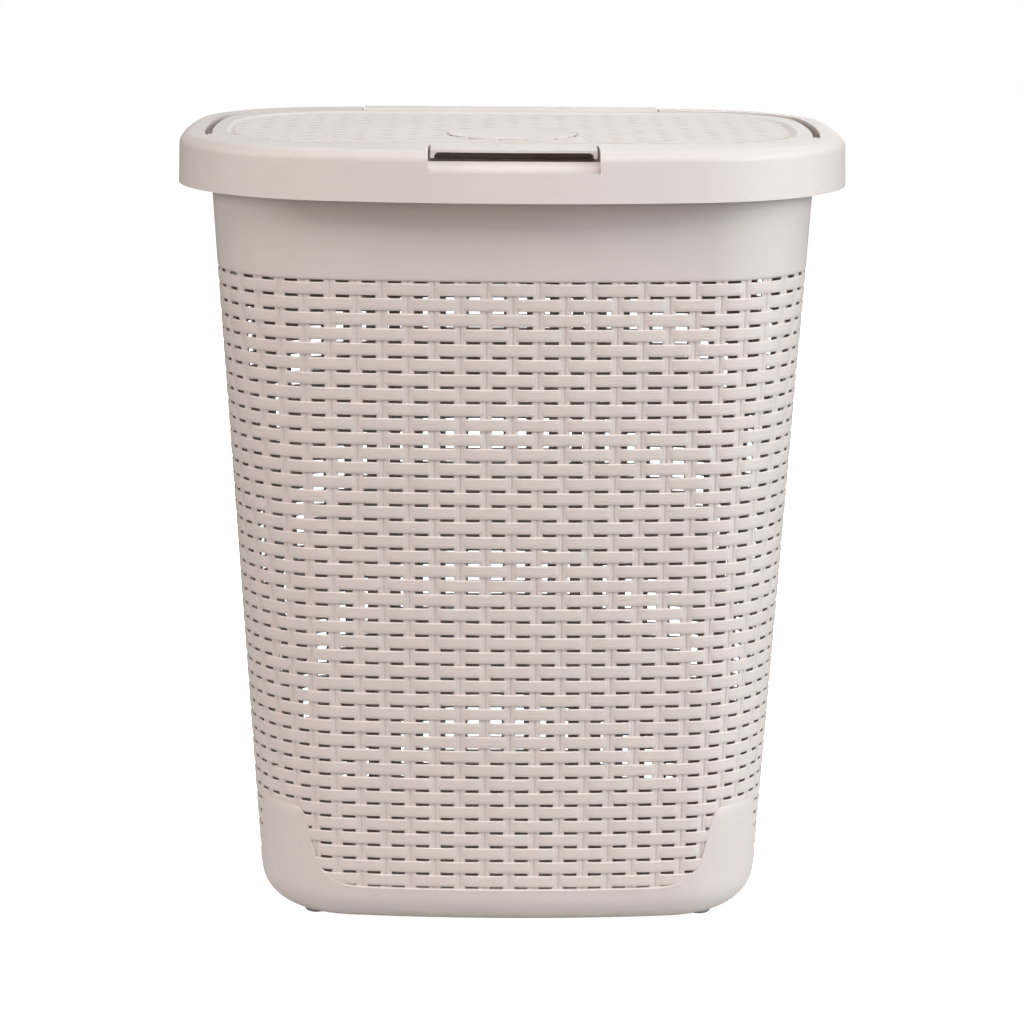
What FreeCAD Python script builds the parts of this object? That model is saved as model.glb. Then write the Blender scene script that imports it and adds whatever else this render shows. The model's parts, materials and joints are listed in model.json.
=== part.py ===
import FreeCAD, Part
import math
import os
from collections import namedtuple

# Laundry hamper with a hinged lid: a tapered injection-moulded basket, a frame ring that clips
# over its mouth, and a flap that closes the ring. Millimetres, +Z up, the front looks along -Y,
# and the origin is the middle of the footprint, on the ground under the rubber feet.

Vector = FreeCAD.Vector

# ---- Driving dimensions --------------------------------------------------------------------

overall_width = 448.0        # frame ring, side to side
overall_depth = 346.0        # frame ring, front to back
rim_top_z = 533.5            # flat top of the frame ring
rim_height = 32.5            # skirt of the frame ring
rim_corner = 126.0           # plan radius of the ring's front corners
rim_back_corner = 104.0      # the same at the back
rim_wall = 2.6
rim_fillet = 7.0             # rounding round the ring's top outer edge
rim_flare = 0.9              # the skirt is this much wider at its foot
rim_front_arc = 600.0        # plan radius of the ring's front
rim_back_arc = 1200.0
rim_side_arc = 900.0         # plan radius of the ring's short sides

side_overhang = 22.6         # ring past the basket wall, at the skirt's foot
front_overhang = 23.5
tub_corner_top = 79.8        # plan radius of the basket's corners at the skirt's foot
tub_corner_slope = 0.0245    # loss of that radius per mm of height
side_draft = 0.0604          # taper of the end walls, mm per mm
front_draft = 0.0584         # taper of the front and back walls, mm per mm
tub_front_arc = 915.0
tub_side_arc = 900.0
tub_wall = 2.2
tub_floor = 2.8
base_round = 24.0            # rounding between walls and floor
bead_height = 4.0            # bead round the mouth of the basket
bead_width = 2.4

opening_side = 16.2          # ring's top face, from its outside to the lid opening, at the ends
opening_front = 53.0
opening_back = 33.0
opening_corner = 68.0
opening_arc = 3000.0         # plan radius of the opening's front and back
opening_side_arc = 600.0
opening_wall = 2.4
ledge_drop = 9.1             # ring's top face down to the ledge that carries the lid
ledge_width = 10.0
ledge_thickness = 2.4

pull_width = 106.0           # finger tongue at the front of the lid
pull_side_gap = 1.5
pull_inset = 15.0            # tongue's edge behind the ring's front face
pull_thickness = 1.5
pull_lip_width = 2.4
pull_lip_height = 5.2
pull_round = 3.0             # rounding inside the down-turned sides
scoop_drop = 13.7            # ring's top face down to the scoop under the tongue
scoop_flat = 6.0             # level part of the scoop, behind the ring's front face
scoop_round = 6.4            # radius at which it turns up
scoop_wall = 2.4
notch_wall = 2.4

lid_drop = 0.5               # lid's border under the ring's top face
lid_gap = 1.0                # lid to opening, all round
lid_plate = 2.4
lid_skirt = 2.0              # thickness of the lid's down-turned edge
lid_ledge_gap = 0.3
lid_edge_round = 1.0
end_gap = 4.8                # wider gap between lid and ring along both ends
end_gap_start = -54.0        # front end of that gap
end_gap_corner = 73.0        # plan radius of the lid's rear corners
border_width = 10.0          # smooth border round the lid's sunk field
field_corner = 84.0          # plan radius of the field's corners
field_depth = 2.0
field_slope = 4.4            # run of the slope from the border down to the field
field_plate = 2.2
field_rib = 0.8              # the field's plate turns up this far inside the slope's top

badge_radius = 43.0
badge_y = -36.0              # centre of the plain round disc on the lid
badge_height = 2.9           # disc's lip over its seat
badge_seat = 1.0             # seat sunk into the field
badge_gap = 0.2
badge_lip = 1.6
badge_dish = 1.9             # depth of its shallow dish
badge_stud_radius = 6.0
badge_stud_gap = 0.05
badge_stud_length = 4.0

hinge_width = 212.0          # hinge tab at the back of the lid
hinge_side_gap = 1.5
hinge_back = 13.0            # hinge axis to the ring's back face
barrel_radius = 4.6
barrel_rise = 0.8            # top of the barrel over the ring's top face
curl_wall = 2.0
knuckle_length = 26.0
hinge_boss = 8.0             # wall that holds each pin
pin_seat = 6.5               # blind hole for the pin in that wall
pin_radius = 2.0
pin_running_gap = 0.06
pin_seat_gap = 0.02
pin_reach = 16.0             # length of the pin inside the lid's knuckle

rib_thickness = 2.0          # ribs under the ring that rest on the basket's mouth
rib_places_front = (0.40, 0.58, 0.74)   # places along the half width
rib_places_back = (0.26, 0.62, 0.76)
hook_length = 16.0           # snap hooks under the ring, along the wall
hook_wall = 2.2
hook_reach = 1.6             # barb under the basket's bead
hook_gap = 0.3
hook_drop = 4.0              # barb's height
hook_places = (0.36, 0.68)   # places along the half width, front and back

foot_height = 3.0
foot_radius = 8.0
foot_round = 1.8
foot_stem_radius = 2.9
foot_stem_gap = 0.1
foot_head_radius = 4.4
foot_head_height = 1.6
foot_inset_x = 39.0          # foot centre, in from the basket's wall at floor level
foot_inset_y = 46.0
foot_boss = 1.5              # rim of the flat boss round each foot
foot_head_gap = 0.4

# ---- Sizes that follow ---------------------------------------------------------------------

rim_foot_z = rim_top_z - rim_height
ledge_z = rim_top_z - ledge_drop
ledge_under_z = ledge_z - ledge_thickness
tub_top_z = ledge_under_z
scoop_z = rim_top_z - scoop_drop
lid_top_z = rim_top_z - lid_drop
lid_under_z = lid_top_z - lid_plate
field_z = lid_top_z - field_depth
skirt_foot_z = ledge_z + lid_ledge_gap
hinge_y = overall_depth / 2 - hinge_back
hinge_z = rim_top_z + barrel_rise - barrel_radius
pocket_half = hinge_width / 2 + hinge_side_gap
notch_half = pull_width / 2 + pull_side_gap
far = overall_width + overall_depth


# ---- Outlines ------------------------------------------------------------------------------

class Plan(namedtuple("Plan", "half_width half_depth front back short_arc shift")):
    """A closed outline of four shallow arcs and four corner arcs, tangent all round.

    `front` and `back` each hold the radius of their two corners and of the long side between.
    """

    def grown(self, by):
        """Return the parallel outline that lies `by` outside this one."""
        front, back = [(corner + by, arc + by) for corner, arc in (self.front, self.back)]
        return Plan(self.half_width + by, self.half_depth + by, front, back,
                    self.short_arc + by, self.shift)

    def corner_centre(self, corner, long_arc):
        """Centre of a corner arc, in the quarter where x and y are positive."""
        long_centre = self.half_depth - long_arc
        short_centre = self.half_width - self.short_arc
        to_long = long_arc - corner
        to_short = self.short_arc - corner
        apart = math.hypot(short_centre, long_centre)
        along = (to_long ** 2 - to_short ** 2 + apart ** 2) / (2 * apart)
        off = math.sqrt(to_long ** 2 - along ** 2)
        ux = short_centre / apart
        uy = -long_centre / apart
        return ux * along + uy * off, long_centre + uy * along - ux * off

    def quarter(self, corner, long_arc):
        """Three arcs from the middle of a long side round to the middle of a short side.

        Each is its start, a point on it, and its end, where x and y are positive.
        """
        cx, cy = self.corner_centre(corner, long_arc)
        long_centre = self.half_depth - long_arc
        short_centre = self.half_width - self.short_arc
        to_long = long_arc / (long_arc - corner)
        to_short = self.short_arc / (self.short_arc - corner)
        end_long = (cx * to_long, long_centre + (cy - long_centre) * to_long)
        end_short = (short_centre + (cx - short_centre) * to_short, cy * to_short)

        def arc(start, stop, x, y, radius):
            mx = (start[0] + stop[0]) / 2 - x
            my = (start[1] + stop[1]) / 2 - y
            scale = radius / math.hypot(mx, my)
            return start, (x + mx * scale, y + my * scale), stop

        return [arc((0, self.half_depth), end_long, 0, long_centre, long_arc),
                arc(end_long, end_short, cx, cy, corner),
                arc(end_short, (self.half_width, 0), short_centre, 0, self.short_arc)]

    def wire(self, z):
        """Build the outline at height z."""
        edges = []
        for side, end in ((1, -1), (1, 1), (-1, 1), (-1, -1)):
            arcs = self.quarter(*(self.front if end < 0 else self.back))
            if side * end > 0:
                arcs = [arc[::-1] for arc in arcs[::-1]]
            for arc in arcs:
                points = [Vector(side * x, self.shift + end * y, z) for x, y in arc]
                edges.append(Part.Arc(*points).toShape())
        return Part.Wire(edges)

    def prism(self, low, high):
        """Extrude the outline from low to high."""
        return Part.Face(self.wire(low)).extrude(Vector(0, 0, high - low))


def tub_plan(z):
    """Outside of the basket at height z."""
    below = rim_foot_z - z
    ends = (tub_corner_top - tub_corner_slope * below, tub_front_arc)
    return Plan(overall_width / 2 - side_overhang - side_draft * below,
                overall_depth / 2 - front_overhang - front_draft * below,
                ends, ends, tub_side_arc, 0.0)


def rim_plan(z):
    """Outside of the frame ring at height z."""
    foot = Plan(overall_width / 2, overall_depth / 2, (rim_corner, rim_front_arc),
                (rim_back_corner, rim_back_arc), rim_side_arc, 0.0)
    return foot.grown(-rim_flare * (z - rim_foot_z) / rim_height)


def loft(lower, low, upper, high):
    """Solid between two outlines with straight sides."""
    return Part.makeLoft([lower.wire(low), upper.wire(high)], True, True)


def box(x0, x1, y0, y1, z0, z1):
    return Part.makeBox(x1 - x0, y1 - y0, z1 - z0, Vector(x0, y0, z0))


def rod(radius, x0, x1, y, z):
    """Cylinder along X."""
    return Part.makeCylinder(radius, x1 - x0, Vector(x0, y, z), Vector(1, 0, 0))


def post(radius, x, y, low, high):
    """Cylinder along Z."""
    return Part.makeCylinder(radius, high - low, Vector(x, y, low))


def round_level(solid, z, radius):
    """Fillet every edge that lies at height z."""
    level = [edge for edge in solid.Edges
             if abs(edge.BoundBox.ZMin - z) < 1e-4 and abs(edge.BoundBox.ZMax - z) < 1e-4]
    return solid.makeFillet(radius, level)


opening_plan = Plan(overall_width / 2 - opening_side,
                    (overall_depth - opening_front - opening_back) / 2,
                    (opening_corner, opening_arc), (opening_corner, opening_arc),
                    opening_side_arc, (opening_front - opening_back) / 2)
slim_plan = Plan(opening_plan.half_width - end_gap, opening_plan.half_depth - lid_gap + 0.3,
                 (end_gap_corner, opening_arc), (end_gap_corner, opening_arc),
                 opening_side_arc, opening_plan.shift)
field_plan = Plan(slim_plan.half_width - border_width,
                  opening_plan.half_depth - lid_gap - border_width,
                  (field_corner, opening_arc), (field_corner, opening_arc),
                  opening_side_arc, opening_plan.shift)
foot_places = [(name, side * (tub_plan(foot_height).half_width - foot_inset_x),
                end * (tub_plan(foot_height).half_depth - foot_inset_y))
               for name, side, end in (("front_left", -1, -1), ("front_right", 1, -1),
                                       ("rear_left", -1, 1), ("rear_right", 1, 1))]


# ---- Pieces --------------------------------------------------------------------------------

def basket_tub():
    """Tapered basket: walls, rounded floor, and the bead that the ring's hooks catch."""
    inside_floor = foot_height + tub_floor
    outer = loft(tub_plan(foot_height), foot_height, tub_plan(tub_top_z), tub_top_z)
    outer = round_level(outer, foot_height, base_round)
    above = tub_top_z + 1
    inner = loft(tub_plan(inside_floor).grown(-tub_wall), inside_floor,
                 tub_plan(above).grown(-tub_wall), above)
    inner = round_level(inner, inside_floor, base_round - tub_wall)
    bead_foot = tub_top_z - bead_height
    bead = loft(tub_plan(bead_foot).grown(bead_width), bead_foot,
                tub_plan(tub_top_z).grown(bead_width), tub_top_z)
    tub = outer.fuse(bead).cut(inner)
    for _, x, y in foot_places:
        spot_face = inside_floor + foot_head_height + 2 * tub_floor
        tub = tub.fuse(post(foot_radius + foot_boss, x, y, foot_height, inside_floor))
        tub = tub.cut(post(foot_stem_radius + foot_stem_gap, x, y, 0, inside_floor + 1))
        tub = tub.cut(post(foot_head_radius + foot_head_gap, x, y, inside_floor, spot_face))
    return tub


def rubber_foot(x, y):
    """Domed foot with a stem and a mushroom head that snaps through the floor."""
    pad = round_level(post(foot_radius, x, y, 0, foot_height), 0, foot_round)
    head_z = foot_height + tub_floor
    stem = post(foot_stem_radius, x, y, foot_height, head_z)
    head = Part.makeCone(foot_head_radius, foot_stem_radius, foot_head_height, Vector(x, y, head_z))
    return pad.fuse(stem).fuse(head)


def ring_skin():
    """Solid inside the ring's outer skin, and the hollow under that skin."""
    foot = rim_plan(rim_foot_z)
    under = rim_top_z - rim_wall
    shell = round_level(loft(foot, rim_foot_z, rim_plan(rim_top_z), rim_top_z), rim_top_z, rim_fillet)
    hollow = loft(foot.grown(-rim_wall), rim_foot_z, rim_plan(under).grown(-rim_wall), under)
    return shell, round_level(hollow, under, rim_fillet - rim_wall)


def scoop(grow):
    """Space of the scoop in the ring's front, under the tongue, `grow` larger below and behind."""
    front = -overall_depth / 2
    turn = front + scoop_flat
    radius = scoop_round + grow
    top = scoop_z + scoop_round
    cut = box(-notch_half, notch_half, 2 * front, turn, scoop_z - grow, top)
    bend = rod(radius, -notch_half, notch_half, turn, top)
    return cut.fuse(bend.common(box(-notch_half, notch_half, turn, 0, 0, top)))


def snap_hook(x, end):
    """Hook on the ring at half-width place x, outside the basket's bead and under it."""
    bead = tub_plan(tub_top_z).grown(bead_width + hook_gap)
    under = tub_top_z - bead_height - hook_gap
    arm = bead.grown(hook_wall).prism(under - hook_drop, rim_top_z - rim_wall)
    arm = arm.cut(bead.prism(under, rim_top_z))
    arm = arm.cut(bead.grown(-hook_reach).prism(under - hook_drop, under))
    edge = end * far
    return arm.common(box(x - hook_length / 2, x + hook_length / 2, min(0, edge), max(0, edge),
                          rim_foot_z, rim_top_z))


def rib(x, end):
    """Plate across the ring's channel that rests on the basket's mouth."""
    edge = end * far
    return box(x - rib_thickness / 2, x + rib_thickness / 2, min(0, edge), max(0, edge),
               tub_top_z, rim_top_z - rim_wall / 2)


def rim_frame():
    """Ring with the lid opening, its ledge, the front notch and the hinge pocket at the back."""
    shell, hollow = ring_skin()
    collar = opening_plan.grown(opening_wall).prism(ledge_under_z, rim_top_z - rim_wall / 2)
    ring = shell.cut(hollow)

    half = overall_width / 2
    ribs = [rib(side * share * half, -1) for side in (-1, 1) for share in rib_places_front]
    ribs += [rib(side * share * half, 1) for side in (-1, 1) for share in rib_places_back]
    hooks = [snap_hook(side * share * half, end)
             for side in (-1, 1) for end in (-1, 1) for share in hook_places]
    pocket_floor = box(-pocket_half - hinge_boss, pocket_half + hinge_boss,
                       opening_plan.shift, far, ledge_under_z, ledge_z)
    inside = [collar, pocket_floor] + ribs
    for side in (-1, 1):
        inner, outer = sorted((side * pocket_half, side * (pocket_half + hinge_boss)))
        inside.append(box(inner, outer, opening_plan.shift, far, ledge_under_z, rim_top_z - rim_wall / 2))
        inner, outer = sorted((side * notch_half, side * (notch_half + notch_wall)))
        inside.append(box(inner, outer, -far, 0, tub_top_z, rim_top_z - rim_wall / 2))
    ring = ring.fuse([shape.common(shell) for shape in inside] + hooks)

    mouth = opening_plan.grown(-ledge_width).prism(rim_foot_z - 1, rim_top_z + 1)
    seat = opening_plan.prism(ledge_z, rim_top_z + 1)
    pocket = box(-pocket_half, pocket_half, opening_plan.shift, far, ledge_z, far)
    notch_front = box(-notch_half, notch_half, -far, 0, ledge_z, far)
    notch_well = box(-notch_half, notch_half, -far, opening_plan.shift, rim_foot_z, far)
    notch_well = notch_well.common(hollow).cut(opening_plan.grown(opening_wall).prism(rim_foot_z, far))
    notch_well = notch_well.common(box(-far, far, -far, 0, tub_top_z, far))
    ring = ring.cut(mouth).cut(seat).cut(pocket).cut(notch_front).cut(notch_well)

    tray = scoop(scoop_wall).cut(scoop(0)).common(shell)
    tray = tray.common(box(-notch_half, notch_half, -far, 0, 0, scoop_z + scoop_round))
    ring = ring.cut(scoop(0)).fuse(tray)
    for side in (-1, 1):
        reach = sorted((side * (pocket_half - 1), side * (pocket_half + pin_seat)))
        ring = ring.cut(rod(pin_radius + pin_seat_gap, reach[0], reach[1], hinge_y, hinge_z))
    return ring


def lid_blank(inset, low, high):
    """The lid's outline, `inset` inside its edge, with the wider gap along both ends."""
    whole = opening_plan.grown(-lid_gap - inset).prism(low, high)
    slim = slim_plan.grown(-inset).prism(low, high)
    front = box(-far, far, -far, end_gap_start - inset, low, high)
    return whole.common(slim.fuse(front)).removeSplitter()


def finger_pull():
    """Tongue that reaches through the ring's notch, with two down-turned sides."""
    reach = rim_plan(rim_top_z).grown(-pull_inset)
    half = pull_width / 2
    back = opening_plan.shift - opening_plan.half_depth + lid_gap + lid_skirt
    tongue = box(-half, half, -far, back, lid_top_z - pull_thickness, lid_top_z)
    for side in (-1, 1):
        inner, outer = sorted((side * half, side * (half - pull_lip_width)))
        lip = box(inner, outer, -far, back, lid_top_z - pull_lip_height, lid_top_z)
        corner = side * (half - pull_lip_width)
        inner, outer = sorted((corner, corner - side * pull_round))
        under = lid_top_z - pull_thickness
        cove = box(inner, outer, -far, back, under - pull_round, under)
        round_out = Part.makeCylinder(pull_round, far, Vector(corner - side * pull_round, back - far,
                                      under - pull_round), Vector(0, 1, 0))
        tongue = tongue.fuse([lip, cove.cut(round_out)])
    return tongue.common(reach.prism(rim_foot_z, far))


def hinge_tab():
    """Tab over the ring's back: a raised plate that ends in a curl, with a knuckle at each end."""
    back = opening_plan.shift + opening_plan.half_depth - lid_gap - lid_skirt
    top = hinge_z + barrel_radius
    ramp_end = back + 3 * lid_skirt
    profile = [(back, lid_top_z), (ramp_end, top), (hinge_y, top), (hinge_y, top - curl_wall),
               (ramp_end, top - curl_wall), (back, lid_under_z)]
    points = [Vector(-hinge_width / 2, y, z) for y, z in profile]
    tab = Part.Face(Part.makePolygon(points + points[:1])).extrude(Vector(hinge_width, 0, 0))
    half = hinge_width / 2
    curl = rod(barrel_radius, -half, half, hinge_y, hinge_z)
    curl = curl.cut(rod(barrel_radius - curl_wall, -half, half, hinge_y, hinge_z))
    curl = curl.common(box(-half, half, hinge_y, far, hinge_z, far))
    tab = tab.fuse(curl)
    for side in (-1, 1):
        ends = sorted((side * half, side * (half - knuckle_length)))
        tab = tab.fuse(rod(barrel_radius, ends[0], ends[1], hinge_y, hinge_z))
    for side in (-1, 1):
        ends = sorted((side * (half + 1), side * (half - pin_reach - 1)))
        tab = tab.cut(rod(pin_radius + pin_running_gap, ends[0], ends[1], hinge_y, hinge_z))
    return tab


def lid_panel():
    """Flap: border, sunk field, down-turned edge, finger pull, badge seat and hinge tab."""
    lid = round_level(lid_blank(0, skirt_foot_z, lid_top_z), lid_top_z, lid_edge_round)
    field_under = field_z - field_plate
    hollow = lid_blank(lid_skirt, skirt_foot_z - 1, lid_under_z)
    pan = field_plan.grown(-field_rib).prism(field_under, lid_under_z)
    lid = lid.cut(hollow.cut(pan))
    lid = lid.cut(loft(field_plan.grown(-field_slope), field_z, field_plan, lid_top_z))
    lid = lid.fuse([finger_pull(), hinge_tab()])
    seat_z = field_z - badge_seat
    lid = lid.cut(post(badge_radius + badge_gap, 0, badge_y, seat_z, far))
    return lid.cut(post(badge_stud_radius + badge_stud_gap, 0, badge_y, field_under - 1, far))


def lid_badge():
    """Plain round disc with a thin lip and a shallow dish, held by a stud."""
    seat_z = field_z - badge_seat
    disc = post(badge_radius, 0, badge_y, seat_z, seat_z + badge_height)
    disc = disc.fuse(post(badge_stud_radius, 0, badge_y, seat_z - badge_stud_length, seat_z))
    mouth = badge_radius - badge_lip
    ball = (mouth ** 2 + badge_dish ** 2) / (2 * badge_dish)
    centre = Vector(0, badge_y, seat_z + badge_height - badge_dish + ball)
    return disc.cut(Part.makeSphere(ball, centre))


def hinge_pin(side):
    """Plain pin, pressed into the ring, on which one end of the lid turns."""
    ends = sorted((side * (hinge_width / 2 - pin_reach), side * (pocket_half + pin_seat)))
    return rod(pin_radius, ends[0], ends[1], hinge_y, hinge_z)


pieces = {"basket_tub": basket_tub(), "rim_frame": rim_frame(), "lid_panel": lid_panel(),
          "lid_badge": lid_badge(), "hinge_pin_left": hinge_pin(-1), "hinge_pin_right": hinge_pin(1)}
for place, x, y in foot_places:
    pieces["foot_" + place] = rubber_foot(x, y)

os.makedirs("parts", exist_ok=True)
for name, piece in pieces.items():
    shape = piece.removeSplitter()
    shape.exportStep(os.path.join("parts", name + ".step"))
    size = shape.BoundBox
    print(f"{name}: {len(shape.Solids)} solid, valid {shape.isValid()}, {shape.Volume / 1000:.1f} cm3, "
          f"{size.XLength:.1f} x {size.YLength:.1f} x {size.ZLength:.1f} mm, z {size.ZMin:.1f}..{size.ZMax:.1f}")
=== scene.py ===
"""Laundry hamper with a hinged lid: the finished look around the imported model."""

import json
import logging
import math
from dataclasses import dataclass, field
from enum import Enum

import bmesh
import bpy
import numpy as np
from mathutils import Matrix, Vector


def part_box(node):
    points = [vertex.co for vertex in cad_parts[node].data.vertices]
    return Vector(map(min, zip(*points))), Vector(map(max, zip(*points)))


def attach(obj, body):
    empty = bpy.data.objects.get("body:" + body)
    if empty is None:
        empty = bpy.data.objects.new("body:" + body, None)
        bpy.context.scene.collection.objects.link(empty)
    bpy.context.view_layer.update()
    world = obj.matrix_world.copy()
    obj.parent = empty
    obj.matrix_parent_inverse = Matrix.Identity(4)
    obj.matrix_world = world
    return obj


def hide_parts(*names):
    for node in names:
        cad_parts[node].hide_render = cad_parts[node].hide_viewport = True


LOG = logging.getLogger("hamper")

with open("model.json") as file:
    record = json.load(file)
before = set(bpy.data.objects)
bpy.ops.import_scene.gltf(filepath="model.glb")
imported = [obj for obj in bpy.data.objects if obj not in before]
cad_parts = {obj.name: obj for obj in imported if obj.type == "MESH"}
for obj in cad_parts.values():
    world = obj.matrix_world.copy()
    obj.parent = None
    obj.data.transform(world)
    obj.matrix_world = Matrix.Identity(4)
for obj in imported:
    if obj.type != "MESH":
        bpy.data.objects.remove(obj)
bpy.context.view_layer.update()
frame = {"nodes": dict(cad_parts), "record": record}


class Body(Enum):
    """The two rigid bodies of the hamper."""

    HAMPER = "hamper"
    LID = "lid"


class Slot(Enum):
    """Material slots named in the record."""

    BASKET = "basket_plastic"
    FRAME = "frame_plastic"
    LID = "lid_plastic"
    PIN = "pin_plastic"
    RUBBER = "foot_rubber"


def smooth_step(value: np.ndarray) -> np.ndarray:
    """Ease from 0 to 1 as value goes from 0 to 1.

    Args:
        value: Any numbers.

    Returns:
        Numbers from 0 to 1.
    """
    clipped = np.clip(value, 0.0, 1.0)
    return clipped * clipped * (3.0 - 2.0 * clipped)


# ---- Finishes ------------------------------------------------------------------------------

CLOUD_SIZE = 0.045                     # clouds in the base colour, metres across
CLOUD_EDGES = (0.32, 0.68)             # noise values between which they fade
PATCH_SIZE = 0.006                     # patches of uneven gloss
PATCH_EDGES = (0.3, 0.7)
GRAIN_STRENGTH = 0.6
STREAK_SIZE = 0.012                    # streaks along the weave
STREAK_STRETCH = (1.0, 1.0, 18.0)      # how much finer they are along each axis
STREAK_HEIGHT = 0.0004
GLOW_RADIUS = (1.0, 0.6, 0.45)         # how far red, green and blue travel, one to another
GLOW_SCALE = 0.0015


@dataclass(frozen=True)
class Finish:
    """A moulded finish: a base colour with faint clouding, a fine grain and uneven gloss.

    Attributes:
        name: Material name.
        colour: Linear base colour.
        shade: How much darker the clouds are, from 0 to 1.
        gloss_low: Roughness where the surface is smoothest.
        gloss_high: Roughness where it is dullest.
        grain_size: Width of one grain, in metres.
        grain_height: Height of the grain, in metres.
        streaks: Strength of the fine lines drawn along the weave, from 0 to 1.
        glow: Share of light that travels under the surface.
    """

    name: str
    colour: tuple[float, float, float]
    shade: float = 0.03
    gloss_low: float = 0.38
    gloss_high: float = 0.52
    grain_size: float = 0.0008
    grain_height: float = 0.00002
    streaks: float = 0.0
    glow: float = 0.0

    def material(self) -> bpy.types.Material:
        """Build the node material.

        Returns:
            The material, made once for each finish.
        """
        found = bpy.data.materials.get(self.name)
        if found is not None:
            return found
        made = bpy.data.materials.new(self.name)
        made.use_nodes = True
        tree = made.node_tree
        shader = tree.nodes["Principled BSDF"]
        place = tree.nodes.new("ShaderNodeTexCoord")
        self._colour(tree, place, shader)
        self._gloss(tree, place, shader)
        self._grain(tree, place, shader)
        if self.glow > 0.0:
            shader.inputs["Subsurface Weight"].default_value = self.glow
            shader.inputs["Subsurface Radius"].default_value = GLOW_RADIUS
            shader.inputs["Subsurface Scale"].default_value = GLOW_SCALE
        return made

    def _noise(self, tree: bpy.types.NodeTree, place: bpy.types.Node, size: float,
               detail: float, stretch: tuple[float, float, float] = (1.0, 1.0, 1.0)) -> bpy.types.Node:
        """Add a noise texture.

        Args:
            tree: Node tree to add to.
            place: Texture coordinate node.
            size: Width of one feature, in metres.
            detail: Levels of finer noise.
            stretch: How much finer the noise is along each axis.

        Returns:
            The noise node.
        """
        scaled = tree.nodes.new("ShaderNodeMapping")
        scaled.inputs["Scale"].default_value = stretch
        noise = tree.nodes.new("ShaderNodeTexNoise")
        noise.inputs["Scale"].default_value = 1.0 / size
        noise.inputs["Detail"].default_value = detail
        tree.links.new(place.outputs["Object"], scaled.inputs["Vector"])
        tree.links.new(scaled.outputs["Vector"], noise.inputs["Vector"])
        return noise

    def _colour(self, tree: bpy.types.NodeTree, place: bpy.types.Node, shader: bpy.types.Node) -> None:
        """Cloud the base colour with large soft noise.

        Args:
            tree: Node tree to add to.
            place: Texture coordinate node.
            shader: The surface shader.
        """
        clouds = self._noise(tree, place, CLOUD_SIZE, detail=3.0)
        ramp = tree.nodes.new("ShaderNodeValToRGB")
        dark, light = ramp.color_ramp.elements
        dark.position, light.position = CLOUD_EDGES
        dark.color = [part * (1.0 - self.shade) for part in self.colour] + [1.0]
        light.color = [*self.colour, 1.0]
        tree.links.new(clouds.outputs["Fac"], ramp.inputs["Fac"])
        tree.links.new(ramp.outputs["Color"], shader.inputs["Base Color"])

    def _gloss(self, tree: bpy.types.NodeTree, place: bpy.types.Node, shader: bpy.types.Node) -> None:
        """Vary the roughness over a few millimetres.

        Args:
            tree: Node tree to add to.
            place: Texture coordinate node.
            shader: The surface shader.
        """
        patches = self._noise(tree, place, PATCH_SIZE, detail=4.0)
        spread = tree.nodes.new("ShaderNodeMapRange")
        spread.inputs["From Min"].default_value = PATCH_EDGES[0]
        spread.inputs["From Max"].default_value = PATCH_EDGES[1]
        spread.inputs["To Min"].default_value = self.gloss_low
        spread.inputs["To Max"].default_value = self.gloss_high
        tree.links.new(patches.outputs["Fac"], spread.inputs["Value"])
        tree.links.new(spread.outputs["Result"], shader.inputs["Roughness"])

    def _grain(self, tree: bpy.types.NodeTree, place: bpy.types.Node, shader: bpy.types.Node) -> None:
        """Raise the fine grain, and the streaks along the weave where the finish has them.

        Args:
            tree: Node tree to add to.
            place: Texture coordinate node.
            shader: The surface shader.
        """
        grain = self._noise(tree, place, self.grain_size, detail=2.0)
        bump = tree.nodes.new("ShaderNodeBump")
        bump.inputs["Distance"].default_value = self.grain_height
        bump.inputs["Strength"].default_value = GRAIN_STRENGTH
        tree.links.new(grain.outputs["Fac"], bump.inputs["Height"])
        last = bump
        if self.streaks > 0.0:
            lines = self._noise(tree, place, STREAK_SIZE, 3.0, STREAK_STRETCH)
            last = tree.nodes.new("ShaderNodeBump")
            last.inputs["Distance"].default_value = STREAK_HEIGHT
            last.inputs["Strength"].default_value = self.streaks
            tree.links.new(lines.outputs["Fac"], last.inputs["Height"])
            tree.links.new(bump.outputs["Normal"], last.inputs["Normal"])
        tree.links.new(last.outputs["Normal"], shader.inputs["Normal"])


BASKET_FINISH = Finish("basket_satin_plastic", (0.600, 0.520, 0.473))
STRIP_FINISH = Finish("basket_strip_plastic", (0.630, 0.542, 0.490), streaks=0.8, glow=0.2)
FRAME_FINISH = Finish("frame_satin_plastic", (0.600, 0.522, 0.476), gloss_low=0.46, gloss_high=0.6)
LID_FINISH = Finish("lid_satin_plastic", (0.600, 0.522, 0.476), gloss_low=0.5, gloss_high=0.64)
LID_WEAVE_FINISH = Finish("lid_weave_satin_plastic", (0.580, 0.502, 0.455), gloss_low=0.56, gloss_high=0.7,
                          streaks=0.3)
PIN_FINISH = Finish("pin_plastic", (0.62, 0.60, 0.57), gloss_low=0.25, gloss_high=0.35)
RUBBER_FINISH = Finish("foot_rubber", (0.150, 0.118, 0.095), shade=0.15, gloss_low=0.62,
                       gloss_high=0.8, grain_height=0.00004)


# ---- Meshes --------------------------------------------------------------------------------

WELD_DISTANCE = 1e-6                   # vertices nearer than this are one


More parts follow.
